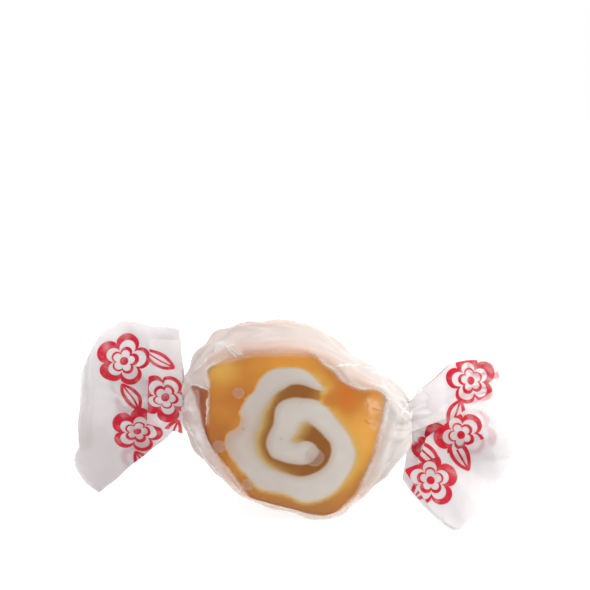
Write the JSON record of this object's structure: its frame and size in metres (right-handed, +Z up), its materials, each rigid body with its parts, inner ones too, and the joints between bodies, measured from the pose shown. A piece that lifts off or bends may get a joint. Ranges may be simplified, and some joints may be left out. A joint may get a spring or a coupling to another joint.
{
  "type": "wrapped salt water taffy",
  "caption": "Short slug of taffy with a white swirl rolled into caramel, in a printed wax-paper wrapper twisted shut into a flared fan at each end.",
  "frame": {"origin": "under the middle of the whole sweet, on the surface that it rests on", "axes": "+X along the twist, from the taller fan to the shorter one; +Y from the shown cut face through to the back one; +Z up"},
  "size_m": [0.0574, 0.0158, 0.0245],
  "materials": {
    "caramel": "smooth chewy taffy, satin under the paper",
    "white": "smooth chewy taffy, satin under the paper",
    "paper": "translucent waxed paper with a crimson print, satin"
  },
  "bodies": {
    "root": {"caramel_taffy": "caramel", "white_swirl": "white", "wrapper": "paper"}
  },
  "joints": []
}
